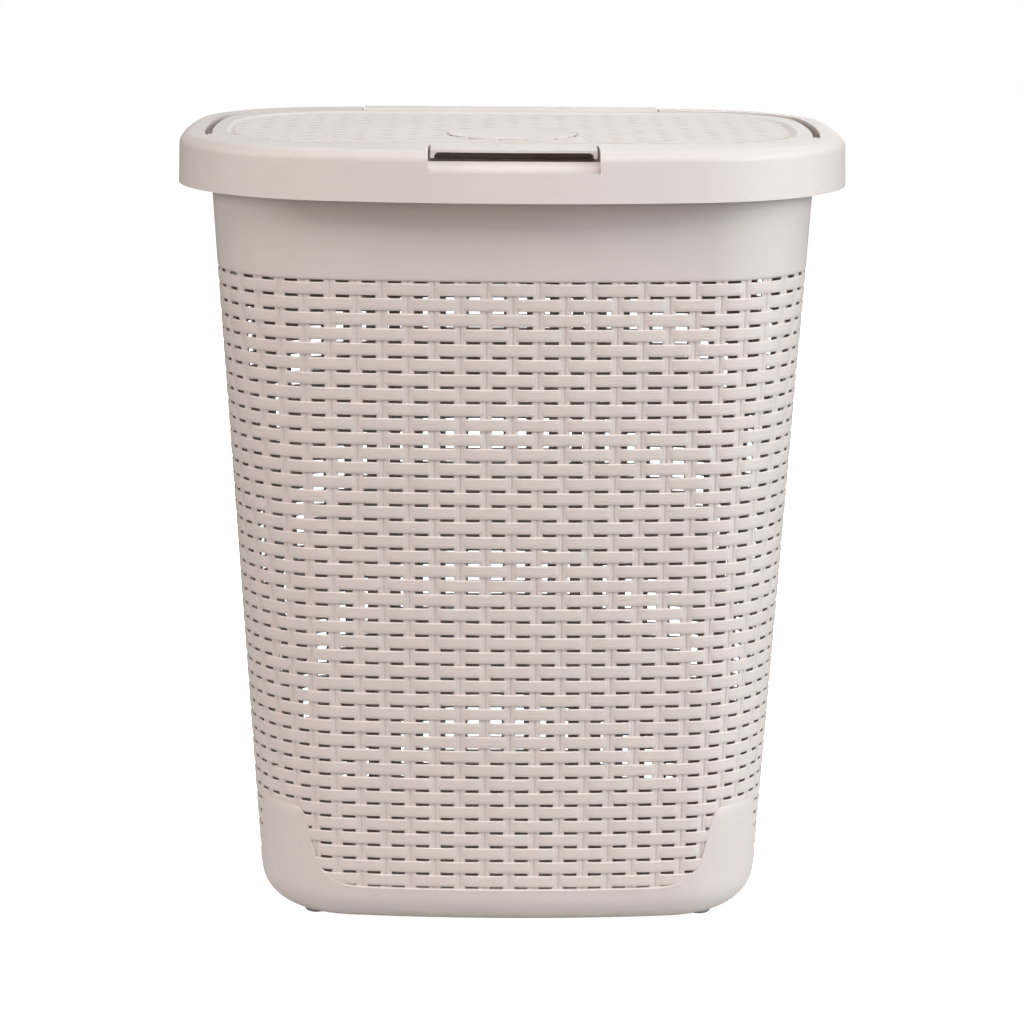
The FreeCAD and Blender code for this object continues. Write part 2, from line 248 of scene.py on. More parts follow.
@dataclass
class Skin:
    """Gathers patches of vertices and faces, then makes one smooth-shaded object.

    Attributes:
        name: Object name.
        points: Blocks of vertices.
        faces: Blocks of faces, numbered over all blocks.
        count: Vertices gathered so far.
    """

    name: str
    points: list[np.ndarray] = field(default_factory=list)
    faces: list[list[int]] = field(default_factory=list)
    count: int = 0

    def grid(self, points: np.ndarray, wrap_rows: bool = False, wrap_columns: bool = False,
             cap_rows: bool = False) -> None:
        """Add a grid of quads.

        Args:
            points: Vertices as rows, columns and coordinates.
            wrap_rows: Join the last row to the first.
            wrap_columns: Join the last column to the first.
            cap_rows: Close the first and last row with a face each.
        """
        rows, columns = points.shape[:2]
        index = np.arange(rows * columns).reshape(rows, columns) + self.count
        down = np.vstack([index, index[:1]]) if wrap_rows else index
        both = np.hstack([down, down[:, :1]]) if wrap_columns else down
        quads = np.stack([both[:-1, :-1], both[1:, :-1], both[1:, 1:], both[:-1, 1:]], axis=-1)
        self.faces.extend(quads.reshape(-1, 4).tolist())
        if cap_rows:
            self.faces.append(index[0].tolist())
            self.faces.append(index[-1][::-1].tolist())
        self.points.append(points.reshape(-1, 3))
        self.count += rows * columns

    def fan(self, ring: np.ndarray, centre: np.ndarray, turned: bool = False) -> None:
        """Close a ring of vertices with triangles to one centre point.

        Args:
            ring: Vertices of the ring.
            centre: The centre point.
            turned: Face the other way.
        """
        many = len(ring)
        self.points.append(np.vstack([ring, centre[None, :]]))
        for here in range(many):
            after = (here + 1) % many
            corners = [self.count + here, self.count + after, self.count + many]
            self.faces.append(corners[::-1] if turned else corners)
        self.count += many + 1

    def build(self, finish: Finish, slot: Slot, body: Body, sharp: float = 40.0) -> bpy.types.Object:
        """Make the object, dress it and let it ride on its body.

        Args:
            finish: Surface finish.
            slot: Material slot of the record; not used.
            body: Body that the piece moves with.
            sharp: Edges that turn more than this many degrees stay crisp.

        Returns:
            The new object.
        """
        mesh = bpy.data.meshes.new(self.name)
        mesh.from_pydata(np.vstack(self.points).tolist(), [], self.faces)
        weld = bmesh.new()
        weld.from_mesh(mesh)
        bmesh.ops.remove_doubles(weld, verts=weld.verts, dist=WELD_DISTANCE)
        bmesh.ops.recalc_face_normals(weld, faces=weld.faces)
        weld.to_mesh(mesh)
        weld.free()
        mesh.validate()
        mesh.materials.append(finish.material())
        mesh.shade_smooth()
        mesh.set_sharp_from_angle(angle=math.radians(sharp))
        made = bpy.data.objects.new(self.name, mesh)
        bpy.context.scene.collection.objects.link(made)
        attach(made, body.value)
        LOG.info("%s: %d vertices, %d faces", self.name, len(mesh.vertices), len(mesh.polygons))
        return made


# ---- Outlines ------------------------------------------------------------------------------

Values = float | np.ndarray


def corner_centre(width: Values, depth: Values, corner: Values, long_arc: float,
                  short_arc: float) -> tuple[Values, Values]:
    """Centre of the corner arc of an outline of four shallow arcs and four round corners.

    Args:
        width: Half width.
        depth: Half depth.
        corner: Radius of the corners.
        long_arc: Radius of the front and back.
        short_arc: Radius of the ends.

    Returns:
        The centre's x and y, in the quarter where both are positive.
    """
    long_centre = depth - long_arc
    short_centre = width - short_arc
    to_long = long_arc - corner
    to_short = short_arc - corner
    apart = np.hypot(short_centre, long_centre)
    along = (to_long ** 2 - to_short ** 2 + apart ** 2) / (2 * apart)
    off = np.sqrt(to_long ** 2 - along ** 2)
    across = short_centre / apart
    upward = -long_centre / apart
    return across * along + upward * off, long_centre + upward * along - across * off


@dataclass
class LidOutline:
    """Outline of the lid's sunk field, about its own middle.

    Attributes:
        half_width: Half the width.
        half_depth: Half the depth.
        corner: Radius of the corners.
        long_arc: Radius of the front and back.
        short_arc: Radius of the ends.
    """

    half_width: float
    half_depth: float
    corner: float
    long_arc: float
    short_arc: float

    def width_at(self, y: float) -> float:
        """Half width of the outline at distance y from its middle, or 0 beyond it."""
        centre_x, centre_y = corner_centre(self.half_width, self.half_depth, self.corner,
                                           self.long_arc, self.short_arc)
        return self._reach(abs(y), self.half_width, self.short_arc, centre_x, centre_y)

    def depth_at(self, x: float) -> float:
        """Half depth of the outline at distance x from its middle, or 0 beyond it."""
        centre_x, centre_y = corner_centre(self.half_width, self.half_depth, self.corner,
                                           self.long_arc, self.short_arc)
        return self._reach(abs(x), self.half_depth, self.long_arc, centre_y, centre_x)

    def _reach(self, off: float, half: float, arc: float, centre_on: float, centre_off: float) -> float:
        """Reach of the outline along one axis, at a distance along the other.

        Args:
            off: Distance from the middle, along the other axis.
            half: Greatest reach.
            arc: Radius of the side that holds that reach.
            centre_on: Corner centre, along the axis of the reach.
            centre_off: Corner centre, along the other axis.

        Returns:
            The reach.
        """
        turn = centre_off * arc / (arc - self.corner)
        if off <= turn:
            return half - arc + math.sqrt(arc ** 2 - off ** 2)
        if off >= centre_off + self.corner:
            return 0.0
        return centre_on + math.sqrt(self.corner ** 2 - (off - centre_off) ** 2)


# ---- Basket --------------------------------------------------------------------------------

BEAD_WIDTH = 0.0024                    # bead round the mouth, past the wall's outer face

# Outer face of a stake: places across it, in stakes, and distances out. Two flat ribs with a
# groove between them.
STAKE_FACE = ((-0.240, -0.00185), (-0.239, -0.00112), (-0.226, -0.00086), (-0.195, -0.00078),
              (-0.115, -0.00076), (-0.080, -0.00080), (-0.020, -0.00136), (-0.010, -0.00140),
              (0.010, -0.00140), (0.024, -0.00130), (0.068, -0.00082), (0.105, -0.00076),
              (0.195, -0.00078), (0.226, -0.00086), (0.239, -0.00112), (0.240, -0.00185))


@dataclass
class BasketPlan:
    """Plan of the tapered basket: four shallow sides and four round corners.

    Attributes:
        half_width: Half the width outside, at the height `level`.
        half_depth: Half the depth outside, at that height.
        corner: Plan radius of the corners, at that height.
        level: Height at which those sizes hold.
        side_draft: Loss of half width per metre of height.
        front_draft: Loss of half depth per metre of height.
        corner_draft: Loss of corner radius per metre of height.
        long_arc: Plan radius of the front and back.
        short_arc: Plan radius of the ends.
    """

    half_width: float
    half_depth: float
    corner: float
    level: float
    side_draft: float = 0.0604
    front_draft: float = 0.0584
    corner_draft: float = 0.0245
    long_arc: float = 0.915
    short_arc: float = 0.900

    def sizes(self, z: np.ndarray) -> tuple[np.ndarray, ...]:
        """Work out the plan at height z.

        Args:
            z: Heights.

        Returns:
            Half width, half depth, corner radius, corner centre x and y, and the angle at which
            the long side ends and the one at which the short side ends.
        """
        below = self.level - z
        width = self.half_width - self.side_draft * below
        depth = self.half_depth - self.front_draft * below
        corner = self.corner - self.corner_draft * below
        centre_x, centre_y = corner_centre(width, depth, corner, self.long_arc, self.short_arc)
        long_end = np.arctan2(centre_x, centre_y - depth + self.long_arc)
        short_end = np.arctan2(centre_y, centre_x - width + self.short_arc)
        return width, depth, corner, centre_x, centre_y, long_end, short_end

    def quarter(self, z: np.ndarray) -> tuple[np.ndarray, np.ndarray, np.ndarray]:
        """Lengths along a quarter of the outline at height z.

        Args:
            z: Heights.

        Returns:
            Length of the front's half, of the corner, and of the whole quarter.
        """
        _, _, corner, _, _, long_end, short_end = self.sizes(z)
        first = self.long_arc * long_end
        second = corner * (math.pi / 2 - long_end - short_end)
        return first, second, first + second + self.short_arc * short_end

    def place(self, run: np.ndarray, z: np.ndarray, side: np.ndarray, end: np.ndarray,
              out: np.ndarray) -> np.ndarray:
        """Place points on the wall.

        Args:
            run: Distance along the outline from the middle of the front or back.
            z: Heights.
            side: 1 on the right, -1 on the left.
            end: -1 at the front, 1 at the back.
            out: Distance outside the wall's outer face.

        Returns:
            The points.
        """
        width, depth, corner, centre_x, centre_y, long_end, short_end = self.sizes(z)
        first = self.long_arc * long_end
        turn = math.pi / 2 - long_end - short_end
        second = corner * turn
        on_long = run / self.long_arc
        on_corner = long_end + (run - first) / corner
        on_short = math.pi / 2 - short_end + (run - first - second) / self.short_arc
        angle = np.where(run <= first, on_long, np.where(run <= first + second, on_corner, on_short))
        radius = np.where(run <= first, self.long_arc,
                          np.where(run <= first + second, corner, self.short_arc))
        base_x = np.where(run <= first, 0.0,
                          np.where(run <= first + second, centre_x, width - self.short_arc))
        base_y = np.where(run <= first, depth - self.long_arc,
                          np.where(run <= first + second, centre_y, 0.0))
        x = base_x + (radius + out) * np.sin(angle)
        y = base_y + (radius + out) * np.cos(angle)
        return np.stack(np.broadcast_arrays(side * x, end * y, z), axis=-1)


@dataclass
class WovenBasket:
    """The basket: a plain top band, the woven wall, and a plain base that rises at each corner.

    Distances called `out` are measured outwards from the wall's outer face. A place round the
    wall is counted in stakes, from the one in the middle of the front.

    Attributes:
        plan: Plan of the wall.
        top: Height of the mouth.
        floor: Height of the underside.
        feet: Middle of each foot, along X and Y.
        stakes: Upright stakes round the wall.
        straight_stakes: Stakes on each side of the front's middle that stand almost parallel.
        pitch_top: Spacing of those stakes at the top of the weave.
        pitch_foot: Spacing of those stakes at the foot of the weave.
        rows: Woven strips up the wall.
        row_pitch: Spacing of the strips.
        weave_top: Height of the uppermost line of slots.
        strip_height: Height of one strip.
        strip_thickness: Thickness of one strip.
        strip_over: How far out the middle of a strip lies where it passes over a stake.
        strip_bevel: Bevel along the edges of a strip.
        strip_crown: Swell of its outer face.
        strip_lip: How far its lower edge lies behind that face.
        strip_dive: How much further in it lies where it passes behind a stake.
        dive_power: How late the strip starts to dive.
        tuck_start: Depth below the base's upper edge at which a strip starts to sink behind it.
        tuck_length: Height over which it does.
        back_drop: How much lower the strips run at the back than at the front.
        stake_middle: How far out the middle of a stake's thickness lies.
        stake_tail: Length of a stake below the border's lowest height.
        stake_head: Length of a stake above the weave.
        wall_inside: Inner face of the plain band and base.
        base_proud: How far the base stands proud of the wall at its upper edge.
        base_seam: How far out the base's outside and inside meet, along that edge.
        base_round: Rounding between wall and floor.
        floor_thickness: Thickness of the floor.
        floor_recess: How far the middle of the underside is raised.
        border_low: Height of the base's upper edge in the middle of a side.
        border_rise: How much higher it is at the corners.
        flank_steep: Distance from a corner's middle to the steep part of that rise, and its width.
        flank_gentle: The same for the gentle part.
        flank_share: Share of the rise that the steep part takes.
        boss_radius: Radius of the flat boss over each foot.
        boss_edge: Rounding of its lower edge.
        steps: Cross-sections of a strip from one stake to the next.
        plain_steps: The same for the plain band and base.
    """

    plan: BasketPlan
    top: float
    floor: float
    feet: list[tuple[float, float]]
    stakes: int = 70
    straight_stakes: float = 7.5
    pitch_top: float = 0.01695
    pitch_foot: float = 0.0166
    rows: int = 42
    row_pitch: float = 0.0099
    weave_top: float = 0.4472
    strip_height: float = 0.0080
    strip_thickness: float = 0.0022
    strip_over: float = -0.0009
    strip_bevel: float = 0.0007
    strip_crown: float = 0.00006
    strip_lip: float = 0.0004
    strip_dive: float = 0.0018
    dive_power: float = 5.0
    tuck_start: float = 0.001
    tuck_length: float = 0.003
    back_drop: float = 0.0026
    stake_middle: float = -0.0015
    stake_tail: float = 0.006
    stake_head: float = 0.004
    wall_inside: float = -0.0023
    base_proud: float = 0.00045
    base_seam: float = -0.0019
    base_round: float = 0.024
    floor_thickness: float = 0.0028
    floor_recess: float = 0.0008
    border_low: float = 0.0308
    border_rise: float = 0.0545
    flank_steep: tuple[float, float] = (0.0255, 0.0043)
    flank_gentle: tuple[float, float] = (0.0365, 0.0115)
    flank_share: float = 0.7
    boss_radius: float = 0.0095
    boss_edge: float = 0.0004
    steps: int = 6
    plain_steps: int = 8

    def wall(self, place: np.ndarray, z: np.ndarray, out: np.ndarray) -> np.ndarray:
        """Place points on the wall by stake count, height and distance out.

        Args:
            place: Place round the wall, in stakes.
            z: Heights.
            out: Distances outside the wall's outer face.

        Returns:
            The points.
        """
        turn = np.mod(place, self.stakes)
        side = np.where(turn <= self.stakes / 2, 1.0, -1.0)
        half = np.where(turn <= self.stakes / 2, turn, self.stakes - turn)
        end = np.where(half <= self.stakes / 4, -1.0, 1.0)
        count = np.where(half <= self.stakes / 4, half, self.stakes / 2 - half)
        return self.plan.place(self.run(count, z), z, side, end, out)

    def run(self, count: np.ndarray, z: np.ndarray) -> np.ndarray:
        """Distance along the outline from the middle of the front to a place in a quarter.

        Args:
            count: Place in stakes, from 0 to a quarter of the stakes.
            z: Heights.

        Returns:
            The distance.
        """
        foot = self.weave_top - self.rows * self.row_pitch
        share = (z - foot) / (self.weave_top - foot)
        pitch = self.pitch_foot + (self.pitch_top - self.pitch_foot) * share
        straight = self.straight_stakes * pitch
        rest = self.plan.quarter(z)[2] - straight
        beyond = (count - self.straight_stakes) / (self.stakes / 4 - self.straight_stakes)
        return np.where(count <= self.straight_stakes, count * pitch, straight + beyond * rest)

    def around(self, steps: int) -> np.ndarray:
        """Places once round the wall, with so many steps from one stake to the next."""
        return np.arange(self.stakes * steps) / steps

    def border(self, place: np.ndarray) -> np.ndarray:
        """Height of the base's upper edge: low along each side, high at each corner.

        Args:
            place: Place round the wall, in stakes.

        Returns:
            The heights.
        """
        z = np.full_like(place, self.border_low + self.border_rise / 2)
        half = np.minimum(np.mod(place, self.stakes), self.stakes - np.mod(place, self.stakes))
        count = np.minimum(half, self.stakes / 2 - half)
        first, second, _ = self.plan.quarter(z)
        away = np.abs(self.run(count, z) - first - second / 2)
        steep, gentle = (0.5 - 0.5 * np.tanh((away - middle) / width)
                         for middle, width in (self.flank_steep, self.flank_gentle))
        rise = self.flank_share * steep + (1.0 - self.flank_share) * gentle
        return self.border_low + self.border_rise * rise

    def strip_section(self) -> list[tuple[float, float]]:
        """Cross-section of a strip, about its middle.

        Returns:
            Heights and distances out.
        """
        half = self.strip_height / 2
        thick = self.strip_thickness / 2
        upper = half - self.strip_bevel
        lower = self.strip_bevel - half
        crown = thick + self.strip_crown
        slant = self.strip_crown * 2 / 3
        return [(upper, thick), (half * 0.3, crown), (-half * 0.4, crown), (lower, thick - slant),
                (-half, thick - self.strip_lip), (lower, -thick), (upper, -thick),
                (half, thick - self.strip_bevel)]

    def strips(self, first: int, last: int, name: str) -> Skin:
        """Woven strips of the rows from first up to last.

        Args:
            first: First row, counted down from the band.
            last: Row after the last one.
            name: Name of the piece.

        Returns:
            The skin.
        """
        skin = Skin(name)
        section = self.strip_section()
        half = self.strip_height / 2
        place = self.around(self.steps)
        edge = self.border(place)
        drop = self.back_drop * (0.5 - 0.5 * np.cos(2 * math.pi * place / self.stakes))
        for row in range(first, last):
            middle = self.weave_top - (row + 0.5) * self.row_pitch
            away = np.abs(np.mod(place + row + 1.0, 2.0) - 1.0)
            out = self.strip_over - self.strip_dive * away ** self.dive_power
            sunk = smooth_step((edge - middle - half - self.tuck_start) / self.tuck_length)
            out = out * (1.0 - sunk) + self.wall_inside / 2 * sunk
            rings = [self.wall(place, middle + up - drop, out + proud) for up, proud in section]
            skin.grid(np.stack(rings, axis=1)[:, ::-1], wrap_rows=True, wrap_columns=True)
        return skin

    def uprights(self) -> Skin:
        """Stakes, each with two flat ribs and a groove between them, outside and inside.

        Returns:
            The skin.
        """
        skin = Skin("basket_stakes")
        face = np.array(STAKE_FACE)
        across = np.concatenate([face[:, 0], face[::-1, 0]])
        out = np.concatenate([face[:, 1], 2 * self.stake_middle - face[::-1, 1]])
        levels = np.linspace(self.border_low - self.stake_tail, self.weave_top + self.stake_head, 25)
        for stake in range(self.stakes):
            rows = [self.wall(stake + across, np.full_like(across, z), out) for z in levels]
            skin.grid(np.stack(rows), wrap_columns=True, cap_rows=True)
        return skin

    def band(self) -> Skin:
        """Plain band under the mouth, with a soft lower edge and the bead at the top.

        Returns:
            The skin.
        """
        skin = Skin("basket_band")
        low = self.weave_top + 0.0002
        edge = [(0.0016, self.wall_inside), (0.0004, self.wall_inside + 0.0006), (0.0, -0.0011),
                (0.0003, -0.0003), (0.0010, 0.0001), (0.0022, 0.0002), (0.0060, 0.0002), (0.030, 0.0001)]
        mouth = [(0.0042, 0.0), (0.0038, BEAD_WIDTH - 0.0004), (0.0032, BEAD_WIDTH), (0.0008, BEAD_WIDTH),
                 (0.0, BEAD_WIDTH - 0.0008), (0.0, self.wall_inside + 0.0006), (0.0006, self.wall_inside)]
        profile = [(low + up, out) for up, out in edge] + [(self.top - down, out) for down, out in mouth]
        place = self.around(self.plain_steps)
        rows = [self.wall(place, np.full_like(place, z), np.full_like(place, out)) for z, out in profile]
        skin.grid(np.stack(rows), wrap_rows=True, wrap_columns=True)
        return skin

    def flank(self, place: np.ndarray, start: np.ndarray, stop: float, outs: np.ndarray) -> list[np.ndarray]:
        """Rows of points down a wall, evenly spaced from just below start to stop.

        Args:
            place: Places round the wall, in stakes.
            start: Heights above the first row.
            stop: Height of the last row.
            outs: Distance out of each row.

        Returns:
            The rows.
        """
        shares = np.linspace(0.0, 1.0, len(outs) + 1)[1:]
        return [self.wall(place, start + (stop - start) * share, np.full_like(place, out))
                for share, out in zip(shares, outs)]

    def rounding(self, place: np.ndarray, shoulder: float, radius: float, out: float,
                 steps: int) -> list[np.ndarray]:
        """Rows of points round the quarter circle from a wall down to the floor.

        Args:
            place: Places round the wall, in stakes.
            shoulder: Height at which the wall starts to turn.
            radius: Radius of the rounding.
            out: Distance out of the wall above it.
            steps: Rows from the wall to the floor.

        Returns:
            The rows.
        """
        rows = []
        for angle in np.radians(np.linspace(0, 90, steps + 1)[1:]):
            z = np.full_like(place, shoulder - radius * math.sin(angle))
            inward = np.full_like(place, out - radius * (1.0 - math.cos(angle)))
            rows.append(self.wall(place, z, inward))
        return rows

    def base_outside(self, skin: Skin, place: np.ndarray, edge: np.ndarray) -> None:
        """Add the base's outside: its upper edge, the wall, the rounding and the underside.

        Args:
            skin: Skin to add to.
            place: Places round the wall, in stakes.
            edge: Height of the upper edge at those places.
        """
        edge_depth = 0.0008
        brim = [(0.0, self.base_seam), (0.0, -0.0004), (-0.0003, 0.0001), (-edge_depth, self.base_proud)]
        rows = [self.wall(place, edge + up, np.full_like(place, out)) for up, out in brim]
        shoulder = self.floor + self.base_round
        outs = self.base_proud * (1.0 - np.linspace(0.0, 1.0, 9)[1:])
        rows += self.flank(place, edge - edge_depth, shoulder, outs)
        rows += self.rounding(place, shoulder, self.base_round, 0.0, 12)
        rim = rows[-1]
        middle = np.array([0.0, 0.0, self.floor])
        raised = np.array([0.0, 0.0, self.floor_recess])
        rows.append(middle + (rim - middle) * 0.97)
        rows += [middle + (rim - middle) * share + raised for share in (0.955, 0.6, 0.25)]
        skin.fan(rows[-1], middle + raised)
        skin.grid(np.stack(rows)[::-1], wrap_columns=True)

    def base_inside(self, skin: Skin, place: np.ndarray, edge: np.ndarray) -> None:
        """Add the base's inside: the wall, the rounding and the floor.

        Args:
            skin: Skin to add to.
            place: Places round the wall, in stakes.
            edge: Height of the upper edge at those places.
        """
        start = edge - 0.0006
        inner_round = self.base_round + self.wall_inside
        inner_floor = self.floor + self.floor_thickness
        shoulder = inner_floor + inner_round
        rows = [self.wall(place, edge, np.full_like(place, self.base_seam)),
                self.wall(place, start, np.full_like(place, self.wall_inside))]
        rows += self.flank(place, start, shoulder, np.full(6, self.wall_inside))
        rows += self.rounding(place, shoulder, inner_round, self.wall_inside, 8)
        rim = rows[-1]
        middle = np.array([0.0, 0.0, inner_floor])
        rows += [middle + (rim - middle) * share for share in (0.6, 0.25)]
        skin.fan(rows[-1], middle, turned=True)
        skin.grid(np.stack(rows), wrap_columns=True)

    def base(self) -> Skin:
        """Plain base: its outside, its inside and the bosses over the feet.

        Returns:
            The skin.
        """
        skin = Skin("basket_base")
        place = self.around(self.plain_steps)
        edge = self.border(place)
        self.base_outside(skin, place, edge)
        self.base_inside(skin, place, edge)
        for foot in self.feet:
            skin.grid(self.foot_boss(foot), wrap_columns=True, cap_rows=True)
        return skin

    def foot_boss(self, foot: tuple[float, float]) -> np.ndarray:
        """Flat round boss that a foot stands under.

        Args:
            foot: Middle of the foot, along X and Y.

        Returns:
            Rings of vertices, from the bottom up.
        """
        turn = np.linspace(0.0, 2 * math.pi, 48, endpoint=False)
        into_floor = self.floor_thickness - 0.0003
        profile = [(self.boss_radius - self.boss_edge, self.floor),
                   (self.boss_radius, self.floor + self.boss_edge),
                   (self.boss_radius, self.floor + into_floor)]
        rings = [np.stack([foot[0] + radius * np.cos(turn), foot[1] + radius * np.sin(turn),
                           np.full_like(turn, z)], axis=-1) for radius, z in profile]
        return np.stack(rings)

    def build(self) -> list[bpy.types.Object]:
        """Make every piece of the basket.

        Returns:
            The new objects.
        """
        half = self.rows // 2
        plain = [self.band(), self.uprights(), self.base()]
        woven = [self.strips(0, half, "basket_strips_upper"),
                 self.strips(half, self.rows, "basket_strips_lower")]
        made = [skin.build(BASKET_FINISH, Slot.BASKET, Body.HAMPER) for skin in plain]
        made += [skin.build(STRIP_FINISH, Slot.BASKET, Body.HAMPER) for skin in woven]
        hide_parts("basket_tub")
        return made


# ---- Lid -----------------------------------------------------------------------------------


@dataclass
class LidWeave:
    """Woven relief in the lid's sunk field, left out round the plain disc.

    Attributes:
        outline: Outline of the flat field.
        middle: Middle of the field, along Y.
        level: Height of the flat field.
        disc_middle: Middle of the disc, along Y.
        disc_clear: Radius kept free round the disc's middle.
        margin: Clearance to the field's edge.
        row_pitch: Spacing of the strips, front to back.
        stake_pitch: Spacing of the stakes, side to side.
        strip_width: Width of a strip.
        strip_bevel: Bevel along its edges.
        strip_high: Top of a strip over the field, where it passes over a stake.
        strip_low: Top of a strip where it passes under one.
        dive_power: How late the strip starts to dive from one to the other.
        stake_width: Width of a stake.
        stake_high: Top of a stake over the field.
        stake_bevel: Width and height of the bevel along its edges.
        groove: Half width and depth of the groove along its middle.
        sink: How deep every piece is set into the field.
        least_reach: A strip or stake with a shorter half length is left out.
        least_run: So is a part of one that is shorter than this.
        steps: Cross-sections of a strip from one stake to the next.
    """

    outline: LidOutline
    middle: float
    level: float
    disc_middle: float
    disc_clear: float = 0.0442
    margin: float = 0.0006
    row_pitch: float = 0.0099
    stake_pitch: float = 0.01685
    strip_width: float = 0.0078
    strip_bevel: float = 0.0006
    strip_high: float = 0.0018
    strip_low: float = 0.0011
    dive_power: float = 3.0
    stake_width: float = 0.0084
    stake_high: float = 0.0006
    stake_bevel: tuple[float, float] = (0.0004, 0.0002)
    groove: tuple[float, float] = (0.0011, 0.0005)
    sink: float = 0.0004
    least_reach: float = 0.004
    least_run: float = 0.002
    steps: int = 6

    def spans(self, off: float, disc_off: float, reach: float) -> list[tuple[float, float]]:
        """Runs of a strip or stake that stay inside the field and clear of the disc.

        Args:
            off: Distance from the disc's middle, across the run.
            disc_off: Place of the disc's middle, along the run.
            reach: Half length of the run.

        Returns:
            Start and end of each run.
        """
        if reach <= self.least_reach:
            return []
        if abs(off) >= self.disc_clear:
            return [(-reach, reach)]
        cut = math.sqrt(self.disc_clear ** 2 - off ** 2)
        runs = [(-reach, disc_off - cut), (disc_off + cut, reach)]
        return [(start, stop) for start, stop in runs if stop - start > self.least_run]

    def strips(self) -> Skin:
        """Strips that run from side to side, over and under every other stake.

        Returns:
            The skin.
        """
        skin = Skin("lid_strips")
        rows = int(self.outline.half_depth / self.row_pitch)
        half = self.strip_width / 2
        flat = half - self.strip_bevel
        section = [(-half, 0.0), (-half, 0.75), (-flat, 0.95), (0.0, 1.05), (flat, 0.95), (half, 0.75),
                   (half, 0.0)]
        for row in range(-rows, rows + 1):
            off = row * self.row_pitch
            y = self.middle + off
            reach = min(self.outline.width_at(off - half), self.outline.width_at(off + half)) - self.margin
            for start, stop in self.spans(y - self.disc_middle, 0.0, reach):
                x = np.linspace(start, stop, max(3, int((stop - start) / self.stake_pitch * self.steps)))
                away = np.abs(np.mod(x / self.stake_pitch + row + 1.0, 2.0) - 1.0)
                top = self.strip_high - (self.strip_high - self.strip_low) * away ** self.dive_power
                rings = []
                for across, share in section:
                    z = self.level - self.sink + (top + self.sink) * share
                    rings.append(np.stack([x, np.full_like(x, y + across), z], axis=-1))
                skin.grid(np.stack(rings, axis=1), wrap_columns=True, cap_rows=True)
        return skin

    def stakes(self) -> Skin:
        """Stakes that run from front to back, each with a groove along its middle.

        Returns:
            The skin.
        """
        skin = Skin("lid_stakes")
        columns = int(self.outline.half_width / self.stake_pitch)
        half = self.stake_width / 2
        top = self.stake_high
        flat = half - self.stake_bevel[0]
        side = top - self.stake_bevel[1]
        groove, deep = self.groove
        section = [(-half, -self.sink), (-half, side), (-flat, top), (-groove, top), (0.0, top - deep),
                   (groove, top), (flat, top), (half, side), (half, -self.sink)]
        for column in range(-columns, columns + 1):
            x = column * self.stake_pitch
            reach = min(self.outline.depth_at(x - half), self.outline.depth_at(x + half)) - self.margin
            for start, stop in self.spans(x, self.disc_middle - self.middle, reach):
                ends = [[[x + across, self.middle + along, self.level + up] for across, up in section]
                        for along in (start, stop)]
                skin.grid(np.array(ends)[:, ::-1], wrap_columns=True, cap_rows=True)
        return skin

    def build(self) -> None:
        """Make both pieces."""
        for skin in (self.strips(), self.stakes()):
            skin.build(LID_WEAVE_FINISH, Slot.LID, Body.LID)


# ---- Studio --------------------------------------------------------------------------------


@dataclass(frozen=True)
class Lamp:
    """A square soft box that faces the hamper.

    Attributes:
        name: Name of the light.
        place: Where it hangs.
        aim: Height on the hamper's middle line that it faces.
        size: Side of the soft box.
        power: Power in watts.
        tint: Colour.
    """

    name: str
    place: tuple[float, float, float]
    aim: float
    size: float
    power: float
    tint: tuple[float, float, float]

    def hang(self) -> None:
        """Make the light."""
        data = bpy.data.lights.new(self.name, "AREA")
        data.size = self.size
        data.energy = self.power
        data.color = self.tint
        lamp = bpy.data.objects.new(self.name, data)
        bpy.context.scene.collection.objects.link(lamp)
        lamp.location = self.place
        sight = Vector((0.0, 0.0, self.aim)) - Vector(self.place)
        lamp.rotation_euler = sight.to_track_quat("-Z", "Y").to_euler()


LAMPS = (
    Lamp("top_back", (0.3, 1.8, 2.2), 0.5, 1.6, 26.0, (0.88, 0.95, 1.0)),
    Lamp("top_front", (0.2, -1.6, 2.6), 0.4, 1.8, 59.0, (0.93, 0.96, 0.99)),
    Lamp("side_right", (2.4, -0.6, 1.2), 0.3, 1.6, 48.0, (0.85, 0.93, 1.0)),
    Lamp("front_right", (1.9, -1.6, 1.2), 0.3, 1.2, 24.0, (0.84, 0.93, 1.0)),
    Lamp("fill_front", (0.0, -2.4, 0.4), 0.3, 1.6, 7.5, (1.0, 0.74, 0.58)),
    Lamp("fill_back", (0.3, 2.4, 0.35), 0.3, 0.8, 20.0, (0.93, 0.96, 1.0)),
    Lamp("side_left", (-2.4, -0.8, 1.2), 0.3, 1.6, 41.0, (0.98, 0.965, 0.98)),
)


